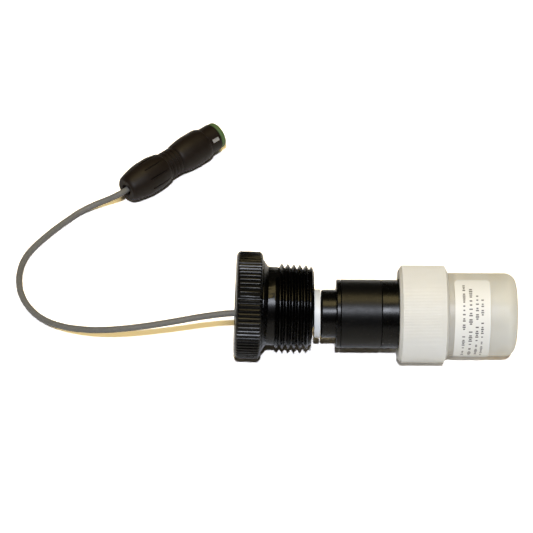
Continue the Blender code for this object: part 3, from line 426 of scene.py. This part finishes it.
# Connector shell.
# The same dark satin plastic as the nut. Four turned grooves round its waist give the fingers
# a grip, and the bulge in front of them covers the latch spring.
GROOVES = 4
FIRST_GROOVE = 21.43
GROOVE_PITCH = 1.778
GROOVE_FLOOR = 5.38
WAIST_RADIUS = 5.9
shell_outline = [(17.3, 2.9), (17.3, 4.1), (19.9, 4.1), (19.9, 5.65), (20.1, 5.65)]
shell_outline.append((20.1, WAIST_RADIUS))
for groove in range(GROOVES):
    middle = FIRST_GROOVE + GROOVE_PITCH * groove
    shell_outline += [(middle - 0.5, WAIST_RADIUS), (middle - 0.2, GROOVE_FLOOR)]
    shell_outline += [(middle + 0.2, GROOVE_FLOOR), (middle + 0.5, WAIST_RADIUS)]
shell_outline += [(27.4, 6.02), (28.1, 6.28), (29.0, 6.45), (30.0, 6.61), (31.0, 6.76), (32.0, 6.9)]
shell_outline += [(33.1, 7.01), (34.5, 7.09), (36.0, 7.1), (38.5, 7.1), (40.0, 7.09), (41.0, 6.96)]
shell_outline += [(41.8, 6.82), (42.15, 6.7), (42.3, 6.5), (42.3, 6.25), (33.3, 6.25), (33.3, 2.9)]
shell = turned("grooved_shell", tube(shell_outline), CONNECTOR_AXIS)
finished(shell, "probe", connector_brown, "connector_shell", edge=0.08)

# Connector nose and face seal.
# The nose slides into the meter's socket. A green ring seals its face, and a small pale key
# stands up from its side.
nose_outline = [(33.6, 4.65), (33.6, 5.95), (48.2, 5.95), (48.5, 5.65), (48.5, 4.65)]
nose = turned("nose_sleeve", tube(nose_outline), CONNECTOR_AXIS)
finished(nose, "probe", connector_brown, "connector_nose", edge=0.08)

face_green = finish("face_green", (0.077, 0.124, 0.043), 0.5, Specular_IOR_Level=0.3)
green_patches = patches(face_green, 900)
tint(face_green, green_patches, (0.069, 0.112, 0.038), (0.085, 0.136, 0.048))
raise_surface(face_green, grain(face_green, 5000), 0.01)
seal_outline = [(48.8, 4.65), (48.8, 5.65), (50.7, 5.65), (50.7, 4.65)]
face_seal = turned("green_seal", tube(seal_outline), CONNECTOR_AXIS)
finished(face_seal, "probe", face_green, "face_seal", edge=0.3)

latch_metal = finish("latch_metal", (0.78, 0.77, 0.76), 0.5, metallic=1.0)
raise_surface(latch_metal, grain(latch_metal, 9000), 0.006)
KEY_TURN = math.radians(55)
key_mark = bar("raised_key", CONNECTOR_AXIS, 45.4, 6.25, (3.2, 1.6, 0.4))
swing(key_mark, CONNECTOR_AXIS[0], Matrix.Rotation(KEY_TURN, 3, CONNECTOR_AXIS[1]))
finished(key_mark, "probe", latch_metal, "index_latch", edge=0.19)

# Connector insert.
# A dark moulded insert fills the nose. Five gold sockets stand in its wells, bored at their
# mouths for the pins of the meter.
insert_plastic = finish("insert_plastic", (0.035, 0.034, 0.033), 0.45)
raise_surface(insert_plastic, grain(insert_plastic, 5000), 0.01)
gold_plate = finish("gold_plate", (0.83, 0.58, 0.22), 0.24, metallic=1.0)
raise_surface(gold_plate, grain(gold_plate, 9000), 0.006)
CONTACTS = 5
CONTACT_CIRCLE = 2.8
insert_outline = [(35.2, 0), (35.2, 4.35), (50.7, 4.35), (50.7, 0)]
insert = turned("socket_insert", insert_outline, CONNECTOR_AXIS, sides=96)
for number in range(1, CONTACTS + 1):
    spoke = Matrix.Rotation(math.tau * number / CONTACTS, 3, CONNECTOR_AXIS[1]) @ UP
    socket_axis = (CONNECTOR_AXIS[0] - spoke * CONTACT_CIRCLE * MM, CONNECTOR_AXIS[1])
    well_outline = [(36.8, 0), (36.8, 0.85), (50.45, 0.85), (50.7, 1.1), (52.0, 1.1), (52.0, 0)]
    cut(insert, turned("socket_well", well_outline, socket_axis, sides=24))
    socket_outline = [(37.1, 0), (37.1, 0.55), (50.4, 0.55), (50.4, 0.3), (43.75, 0.3), (43.75, 0)]
    socket = turned(f"gold_socket_{number}", socket_outline, socket_axis, sides=24)
    finished(socket, "probe", gold_plate, f"contact_{number}", edge=0.06)
finished(insert, "probe", insert_plastic, "contact_insert", edge=0.08)

# Rear housing.
# One glossy black moulding: the stem that the plug slides on, the narrow neck, and the rim
# that the sleeve butts against.
DUST_COLOUR = (0.02, 0.018, 0.014)
DUST_EDGE = 0.04
BODY_RADIUS = 13.15
STEM_RADIUS = 5.2
NECK_START = 32.932
NECK_RADIUS = 9.23
RIM_START = 38.712
RIM_END = 40.262
SLEEVE_START = 40.562
SLEEVE_END = 55.862
BARREL_START = 56.162
SPIGOT_END = 66.162
HOLDER_BORE = 5.7

# Behind each gap between two black pieces a low lip hides the white floor.
LIP = 0.2
LIP_RADIUS = 12.9


def dust(material, clean, scale, peak):
    """Pale specks on a clean colour, where a noise of that scale rises over the peak."""
    specks = ranged(material, grain(material, scale, detail=1), peak, peak + DUST_EDGE, 0, 1)
    tint(material, specks, clean, DUST_COLOUR)


gloss_black = finish("gloss_black", (0.0006, 0.0006, 0.0006), 0.27, Specular_IOR_Level=0.17)
drive(gloss_black, "Roughness", patches(gloss_black, 260, 0.24, 0.3, detail=3))
dust(gloss_black, (0.0006, 0.0006, 0.0006), 2600, 0.71)
raise_surface(gloss_black, grain(gloss_black, 700, detail=4), 0.005)

housing_outline = [(14.3, 0), (14.3, STEM_RADIUS), (NECK_START, STEM_RADIUS), (NECK_START, 8.73)]
housing_outline += [(NECK_START + 0.5, NECK_RADIUS), (RIM_START, NECK_RADIUS), (RIM_START, 12.85)]
housing_outline += [(RIM_START + 0.3, BODY_RADIUS), (RIM_END, BODY_RADIUS), (RIM_END, LIP_RADIUS)]
housing_outline += [(RIM_END + LIP, LIP_RADIUS), (RIM_END + LIP, 11.15), (SLEEVE_END, 11.15)]
housing_outline += [(SLEEVE_END, 10.45), (SPIGOT_END, 10.45), (SPIGOT_END, HOLDER_BORE)]
housing_outline += [(SLEEVE_END, HOLDER_BORE), (SLEEVE_END, 0)]
housing = turned("housing_moulding", housing_outline)
finished(housing, "probe", gloss_black, "rear_housing")

# Grip sleeve.
# A satin black tube pushed over the housing, with a finer and duller face than the
# mouldings on either side of it.
satin_black = finish("satin_black", (0.002, 0.002, 0.0021), 0.35, Specular_IOR_Level=0.17)
drive(satin_black, "Roughness", patches(satin_black, 900, 0.32, 0.38, detail=3))
dust(satin_black, (0.002, 0.002, 0.0021), 2100, 0.7)
raise_surface(satin_black, grain(satin_black, 5200, detail=3), 0.03)
sleeve_outline = [(SLEEVE_START, 11.45), (SLEEVE_START, BODY_RADIUS), (SLEEVE_END, BODY_RADIUS)]
sleeve_outline += [(SLEEVE_END, LIP_RADIUS), (SLEEVE_END + LIP, LIP_RADIUS), (SLEEVE_END + LIP, 11.45)]
sleeve = turned("satin_sleeve", tube(sleeve_outline))
finished(sleeve, "probe", satin_black, "grip_sleeve")

# Sensing parts.
# A cast resin holder carries the gold cathode on its end, the grey metal anode round it and
# the steel temperature sensor inside.
holder_epoxy = finish("holder_epoxy", (0.05, 0.028, 0.014), 0.25)
raise_surface(holder_epoxy, grain(holder_epoxy, 900), 0.02)
anode_metal = finish("anode_metal", (0.36, 0.36, 0.35), 0.5, metallic=1.0)
raise_surface(anode_metal, grain(anode_metal, 4000, detail=4), 0.03)
sensor_steel = finish("sensor_steel", (0.55, 0.55, 0.53), 0.28, metallic=1.0)
raise_surface(sensor_steel, grain(sensor_steel, 6000), 0.01)

holder_outline = [(62.362, 0), (62.362, 1.6), (BARREL_START, 1.6), (BARREL_START, 5.4)]
holder_outline += [(79.962, 5.4), (79.962, 0)]
holder = turned("resin_holder", holder_outline)
finished(holder, "probe", holder_epoxy, "cathode_holder")
cathode_outline = [(80.262, 0), (80.262, 3.0), (80.462, 3.0), (80.812, 2.906), (81.068, 2.65)]
cathode_outline += [(81.162, 2.3), (81.162, 0)]
cathode = turned("gold_cathode", cathode_outline, sides=96)
finished(cathode, "probe", gold_plate, "cathode", edge=0)
anode = turned("anode_ring", tube([(66.462, 5.7), (66.462, 8.5), (75.962, 8.5), (75.962, 5.7)]))
finished(anode, "probe", anode_metal, "anode")
sensor_outline = [(56.262, 0), (56.262, 1.3), (61.062, 1.3), (61.46, 1.22), (61.769, 1.007)]
sensor_outline += [(61.98, 0.68), (62.062, 0.3), (62.062, 0)]
sensor_can = turned("sensor_can", sensor_outline, sides=48)
finished(sensor_can, "probe", sensor_steel, "thermistor", edge=0)

# Membrane cap.
# A glossy black barrel screws on the housing. Inside its front wall a white ring and a
# rubber seal stretch a thin clear film over the cathode.
BARREL_END = 83.862
barrel_outline = [(BARREL_START, 10.75), (BARREL_START, BODY_RADIUS), (BARREL_END - 1, BODY_RADIUS)]
barrel_outline += [(BARREL_END, BODY_RADIUS - 1), (BARREL_END, 6.2), (82.062, 6.2), (82.062, 9.4)]
barrel_outline += [(66.462, 9.4), (66.462, 10.75)]
barrel = turned("cap_barrel", tube(barrel_outline))
finished(barrel, "cap_body", gloss_black, "front_barrel")

membrane_film = finish("membrane_film", (0.86, 0.87, 0.85), 0.12, Transmission_Weight=0.85, IOR=1.4)
raise_surface(membrane_film, grain(membrane_film, 1500), 0.004)
membrane = turned("film_disc", [(81.462, 0), (81.462, 9.1), (81.762, 9.1), (81.762, 0)], sides=96)
finished(membrane, "cap_body", membrane_film, "membrane", edge=0)
SEAL_STEPS = 16
ring_turns = [math.tau * step / SEAL_STEPS for step in range(SEAL_STEPS)]
ring_section = [(80.562 + 0.52 * math.cos(turn), 7.4 + 0.6 * math.sin(turn)) for turn in ring_turns]
membrane_seal = turned("film_seal", tube(ring_section), sides=96)
finished(membrane_seal, "cap_body", seal_rubber, "membrane_seal", edge=0, angle=60)

white_ring = finish("white_ring", (0.70, 0.72, 0.74), 0.42)
raise_surface(white_ring, grain(white_ring, 1, stretch=(9000, 40, 40)), 0.02)
clamp_outline = [(77.662, 6.3), (77.662, 9.1), (79.662, 9.1), (79.662, 6.3)]
clamp = turned("film_clamp", tube(clamp_outline), sides=96)
finished(clamp, "cap_body", white_ring, "membrane_clamp")

# Thrust ring.
# A loose white plastic ring, turned from rod, lies between the plug and the neck, and takes
# the plug's push. Its side still has the fine lines of the tool.
thrust_outline = [(30.262, 5.5), (30.262, 9.27), (32.632, 9.27), (32.632, 5.5)]
thrust_ring = turned("turned_ring", tube(thrust_outline))
finished(thrust_ring, "ring_body", white_ring, "thrust_ring", edge=0.2)

# Plug.
# The hollow glossy black plug lies loose on the stem and dips a little. Its head has V flutes
# all round for the fingers, and a tapered pipe thread in front screws it into a fitting.
PLUG_AXIS = (Vector((-53.375, 0.211, 20.955)) * MM, ACROSS)
PLUG_DIP = math.radians(2.4)
FLUTES = 72
HEAD_RADIUS = 20.6
FLUTE_DEPTH = 0.5
PITCH = 2.309
THREAD_TURNS = 7
THREAD_START = 14.2
THREAD_STEPS = 96

# The deform's factor, over the ridge's length, for a taper of 1 in 16.
THREAD_TAPER = -0.0334


def fluted(name, axis, start, end, section, count):
    """Pulls a ring of (share of the pitch, radius) points, repeated count times, along an axis."""
    origin, along = axis
    places = []
    for share, radius in section:
        turn = Matrix.Rotation(math.tau * share / count, 3, along)
        places.append(origin + (along * start + turn @ UP * radius) * MM)
    obj = start_mesh(name, places)
    bpy.ops.mesh.select_all(action="SELECT")
    bpy.ops.mesh.spin(steps=count, dupli=True, angle=math.tau, center=origin, axis=along)
    bpy.ops.mesh.select_all(action="SELECT")
    bpy.ops.mesh.remove_doubles(threshold=0.000001)
    bpy.ops.mesh.select_all(action="SELECT")
    bpy.ops.mesh.edge_face_add()
    bpy.ops.mesh.select_all(action="SELECT")
    bpy.ops.mesh.extrude_region_move(TRANSFORM_OT_translate={"value": along * (end - start) * MM})
    return close_mesh(obj)


# Each flute's flank grows steeper towards its floor, from about 31 to 43 degrees.
flute_flank = [(0.2, 0), (0.323, 0.27), (0.447, 0.6), (0.57, 1)]
flute_drops = [(0, 0)] + flute_flank + [(1.2 - share, drop) for share, drop in reversed(flute_flank)]
flute_section = [(share, HEAD_RADIUS - FLUTE_DEPTH * drop) for share, drop in flute_drops]
plug = fluted("fluted_plug", PLUG_AXIS, -1, 11, flute_section, FLUTES)
head_blank = [(0, 0), (0, 18.9), (0.22, 19.6), (0.65, 20.2), (1.35, 20.62), (8.75, 20.62), (9.45, 20.2)]
head_blank += [(9.88, 19.6), (10.1, 18.9), (10.1, 0)]
cut(plug, turned("head_blank", head_blank, PLUG_AXIS), "INTERSECT")
core_outline = [(9.0, 0), (9.0, 17.5), (10.4, 17.5), (12.2, 15.1), (14.6, 15.1), (15.8, 15.1)]
core_outline += [(15.8, 14.9), (29.0, 14.49), (29.6, 13.9), (29.6, 0)]
cut(plug, turned("plug_core", core_outline, PLUG_AXIS), "UNION")

ridge_section = [(0.03, 15.15), (1.05, 16.88), (1.11, 16.97), (1.2, 16.97), (1.26, 16.88), (2.28, 15.15)]
ridge_places = [Vector((THREAD_START + place, 0, radius)) * MM for place, radius in ridge_section]
ridge = start_mesh("thread_ridge", ridge_places)
bpy.ops.mesh.select_all(action="SELECT")
bpy.ops.mesh.edge_face_add()
bpy.ops.object.mode_set(mode="OBJECT")
apply_modifier(
    ridge,
    "SCREW",
    axis="X",
    angle=math.tau,
    screw_offset=PITCH * MM,
    iterations=THREAD_TURNS,
    steps=THREAD_STEPS,
    render_steps=THREAD_STEPS,
    use_smooth_shade=False,
)
bpy.ops.object.mode_set(mode="EDIT")
bpy.ops.mesh.select_all(action="SELECT")
bpy.ops.mesh.fill_holes(sides=0)
close_mesh(ridge)
apply_modifier(ridge, "SIMPLE_DEFORM", deform_method="TAPER", deform_axis="X", factor=THREAD_TAPER)
ridge.location = PLUG_AXIS[0]
bpy.ops.object.transform_apply()
envelope_outline = [(14.9, 0), (14.9, 15.1), (17.6, 17.2), (27.4, 17.2), (29.0, 15.3)]
envelope_outline += [(29.6, 14.1), (29.6, 0)]
cut(ridge, turned("thread_envelope", envelope_outline, PLUG_AXIS), "INTERSECT")
cut(plug, ridge, "UNION")
bore_outline = [(-2.0, 0), (-2.0, 11.1), (0.6, 8.5), (31.6, 8.5), (31.6, 0)]
cut(plug, turned("plug_bore", bore_outline, PLUG_AXIS))
swing(plug, PLUG_AXIS[0], Matrix.Rotation(PLUG_DIP, 3, "Y"))
finished(plug, "plug_body", gloss_black, "threaded_plug", edge=0.05)

# Storage bottle.
# A blown bottle of milky plastic, thin walled and open at its mouth, slips over the membrane
# cap to keep it wet. A painted shade on its colour stands for the black barrel showing faintly
# through its side.
BOTTLE_START = 69.662
BOTTLE_END = 107.562
BOTTLE_RADIUS = 15.94
BOTTLE_CORNER = 4.2
BOTTLE_CORNER_STEPS = 8

# Where the dark barrel ends behind the bottle's side, in metres of the part's X, and its painted shade.
PAINTED_SHADE_END = 0.0296
PAINTED_SHADE_GONE = 0.0312
PAINTED_SHADE_SHARE = 0.36
PAINTED_SHADE_COLOUR = (0.3, 0.29, 0.27, 1)

bottle_milky = finish(
    "bottle_milky",
    (0.865, 0.765, 0.6),
    0.42,
    Subsurface_Weight=0.75,
    Subsurface_Radius=(1.0, 0.9, 0.75),
    Subsurface_Scale=0.009,
    Specular_IOR_Level=0.35,
)
milky_clouds = patches(bottle_milky, 90)
milky = tint(bottle_milky, milky_clouds, (0.85, 0.75, 0.585), (0.88, 0.78, 0.615))
bottle_place = node(bottle_milky, "TexCoord").node.outputs["Object"]
along_bottle = node(bottle_milky, "SeparateXYZ", bottle_place)
# Painted shade: the bottle's colour is greyed where the barrel lies behind its wall.
painted_barrel_shade = ranged(bottle_milky, along_bottle, PAINTED_SHADE_END, PAINTED_SHADE_GONE, PAINTED_SHADE_SHARE, 0)
milky_with_painted_shade = node(bottle_milky, "Mix", painted_barrel_shade, data_type="RGBA").node
bottle_milky.node_tree.links.new(milky, milky_with_painted_shade.inputs["A"])
milky_with_painted_shade.inputs["B"].default_value = PAINTED_SHADE_COLOUR
drive(bottle_milky, "Base Color", milky_with_painted_shade.outputs["Result"])
drive(bottle_milky, "Roughness", patches(bottle_milky, 500, 0.38, 0.46, detail=3))
raise_surface(bottle_milky, grain(bottle_milky, 220), 0.03)
bottle_outline = [(105.962, 0), (105.962, 11.74), (105.73, 12.86), (105.095, 13.833), (104.13, 14.47)]
bottle_outline += [(103.002, 14.7), (81.162, 14.7), (80.062, 13.9), (BOTTLE_START, 13.9)]
bottle_outline += [(BOTTLE_START, 15.1), (80.062, 15.1), (80.862, BOTTLE_RADIUS)]
corner_place = BOTTLE_END - BOTTLE_CORNER
corner_radius = BOTTLE_RADIUS - BOTTLE_CORNER
bottle_outline.append((corner_place, BOTTLE_RADIUS))
for step in range(1, BOTTLE_CORNER_STEPS):
    turn = math.pi / 2 * step / BOTTLE_CORNER_STEPS
    round_place = corner_place + BOTTLE_CORNER * math.sin(turn)
    bottle_outline.append((round_place, corner_radius + BOTTLE_CORNER * math.cos(turn)))
bottle_outline += [(BOTTLE_END, corner_radius), (BOTTLE_END, 0)]
bottle = turned("milky_bottle", bottle_outline, sides=192)
finished(bottle, "bottle_body", bottle_milky, "storage_bottle", edge=0.15)

sponge_foam = finish("sponge_foam", (0.62, 0.5, 0.26), 0.85)
raise_surface(sponge_foam, grain(sponge_foam, 1800, detail=4), 0.4)
sponge_outline = [(98.662, 0), (98.662, 13.6), (98.96, 14.2), (99.66, 14.4), (102.702, 14.4)]
sponge_outline += [(103.86, 14.15), (104.795, 13.533), (105.36, 12.6), (105.662, 11.44), (105.662, 0)]
sponge = turned("foam_disc", sponge_outline, sides=64)
finished(sponge, "bottle_body", sponge_foam, "sponge", edge=0)

gasket_outline = [(66.662, 13.45), (66.662, 15.6), (69.362, 15.6), (69.362, 13.45)]
bottle_gasket = turned("mouth_gasket", tube(gasket_outline))
finished(bottle_gasket, "bottle_body", seal_rubber, "bottle_seal", edge=0.3)
washer_outline = [(65.162, 13.6), (65.162, 16.1), (66.362, 16.1), (66.362, 13.6)]
washer = turned("mouth_washer", tube(washer_outline))
finished(washer, "washer_body", white_ring, "slip_washer")

# Screw collar.
# A warm white moulded collar screws over the bottle's mouth and squeezes the seal on the
# barrel. About two hundred fine ribs run round its side.
COLLAR_RIBS = 200
COLLAR_RADIUS = 18.7
RIB_FLOOR = 18.56
collar_white = finish("collar_white", (0.735, 0.715, 0.655), 0.5, Specular_IOR_Level=0.35)
collar_patches = patches(collar_white, 120, detail=3)
tint(collar_white, collar_patches, (0.72, 0.70, 0.64), (0.75, 0.73, 0.67))
raise_surface(collar_white, grain(collar_white, 2500), 0.01)
collar_section = [(-0.28, COLLAR_RADIUS), (0.28, COLLAR_RADIUS), (0.42, RIB_FLOOR)]
collar_section += [(0.58, RIB_FLOOR), (0.72, COLLAR_RADIUS)]
collar = fluted("ribbed_collar", PROBE_AXIS, 61, 83, collar_section, COLLAR_RIBS)
collar_blank = [(62.562, 0), (62.562, 17.0), (62.9, 17.45), (63.762, 18.71), (80.162, 18.71)]
collar_blank += [(80.95, 17.0), (81.162, 16.6), (81.162, 0)]
cut(collar, turned("collar_blank", collar_blank), "INTERSECT")
collar_cavity = [(60.562, 0), (60.562, 13.9), (64.862, 13.9), (64.862, 16.4)]
collar_cavity += [(83.162, 16.4), (83.162, 0)]
cut(collar, turned("collar_cavity", collar_cavity))
finished(collar, "collar_body", collar_white, "storage_collar", edge=0.05)

# Label.
# An off white paper sticker with rounded corners, wrapped half round the bottle. Rows of
# plain dark marks of uneven height stand for its print.
LABEL_START = 83.362
LABEL_END = 96.862
LABEL_CORNER = 2.0
LABEL_RADIUS = 16.1
LABEL_FIRST_TURN = math.radians(-10)
LABEL_ARC = LABEL_RADIUS * math.pi
LABEL_THICKNESS = 0.12
LABEL_MIDDLE_ROWS = 36
CORNER_STEPS = 6
corner_rows = []
for step in range(CORNER_STEPS + 1):
    turn = math.pi / 2 * step / CORNER_STEPS
    corner_rows.append((LABEL_CORNER * (1 - math.cos(turn)), LABEL_CORNER * (1 - math.sin(turn))))
straight_arc = LABEL_ARC - 2 * LABEL_CORNER
label_rows = list(corner_rows)
for step in range(1, LABEL_MIDDLE_ROWS):
    label_rows.append((LABEL_CORNER + straight_arc * step / LABEL_MIDDLE_ROWS, 0))
label_rows += [(LABEL_ARC - from_end, inset) for from_end, inset in reversed(corner_rows)]


def label_line(row):
    """The middle and the half length of one row of the label, for its place round the bottle."""
    around, inset = row
    turn = LABEL_FIRST_TURN + around / LABEL_RADIUS
    out = Vector((0, -math.sin(turn), math.cos(turn))) * LABEL_RADIUS
    middle = PROBE_AXIS[0] + (ACROSS * (LABEL_START + LABEL_END) / 2 + out) * MM
    return middle, ((LABEL_END - LABEL_START) / 2 - inset) * MM


middle, half = label_line(label_rows[0])
sticker = start_mesh("paper_label", [middle - ACROSS * half, middle + ACROSS * half])
bpy.ops.mesh.select_all(action="SELECT")
for row in label_rows[1:]:
    next_middle, next_half = label_line(row)
    bpy.ops.mesh.extrude_region_move(TRANSFORM_OT_translate={"value": next_middle - middle})
    bpy.ops.transform.resize(value=(next_half / half, 1, 1), center_override=next_middle)
    middle, half = next_middle, next_half
close_mesh(sticker)
apply_modifier(sticker, "SOLIDIFY", thickness=LABEL_THICKNESS * MM, offset=0)

PAPER_COLOUR = (0.8, 0.785, 0.73)
INK_COLOUR = (0.13, 0.115, 0.11)
MARKS_PER_RADIAN = 20
MARK_SHARE = 0.66
BARE_SHARE = 0.24

# Each printed row: its place along the probe, its size and its start round the bottle.
PRINT_ROWS = ((86.75, 1.2, 0.02), (89.3, 1.5, 0.1), (91.7, 1.3, 0.25), (93.7, 1.1, 0.4))
PRINT_END = 2.06
label_paper = finish("label_paper", PAPER_COLOUR, 0.5, Specular_IOR_Level=0.35)
paper_place = node(label_paper, "TexCoord").node.outputs["Object"]
in_mm = node(
    label_paper,
    "Mapping",
    paper_place,
    values={"Location": -PROBE_AXIS[0] / MM, "Scale": (1 / MM, 1 / MM, 1 / MM)},
)
sides_of = node(label_paper, "SeparateXYZ", in_mm).node.outputs


def maths(operation, *terms):
    """A Math node on the label's paper. Each term is a number or another node's output."""
    numbers = {place: term for place, term in enumerate(terms) if isinstance(term, (int, float))}
    sources = [None if place in numbers else term for place, term in enumerate(terms)]
    return node(label_paper, "Math", *sources, operation=operation, values=numbers)


around_bottle = maths("ARCTAN2", maths("MULTIPLY", sides_of["Y"], -1), sides_of["Z"])


def printed_row(place, size, first):
    """One on the marks of a printed row, at a place along the bottle, and nought off them."""
    after = maths("GREATER_THAN", around_bottle, first)
    before = maths("LESS_THAN", around_bottle, PRINT_END)
    mark = maths("MULTIPLY_ADD", around_bottle, MARKS_PER_RADIAN, place)
    inked = maths("LESS_THAN", maths("FRACT", mark), MARK_SHARE)
    number = maths("FLOOR", mark)
    chance = node(label_paper, "TexWhiteNoise", None, number, noise_dimensions="1D")
    kept = maths("GREATER_THAN", chance, BARE_SHARE)
    half_height = maths("MULTIPLY_ADD", chance, size * 0.3, size * 0.2)
    on_row = maths("COMPARE", sides_of["X"], place, half_height)
    for part in (after, before, inked, kept):
        on_row = maths("MULTIPLY", on_row, part)
    return on_row


print_ink = printed_row(*PRINT_ROWS[0])
for row in PRINT_ROWS[1:]:
    print_ink = maths("MAXIMUM", print_ink, printed_row(*row))
tint(label_paper, print_ink, PAPER_COLOUR, INK_COLOUR)
raise_surface(label_paper, grain(label_paper, 3000, detail=3), 0.01)
finished(sticker, "bottle_body", label_paper, "bottle_label", edge=0)
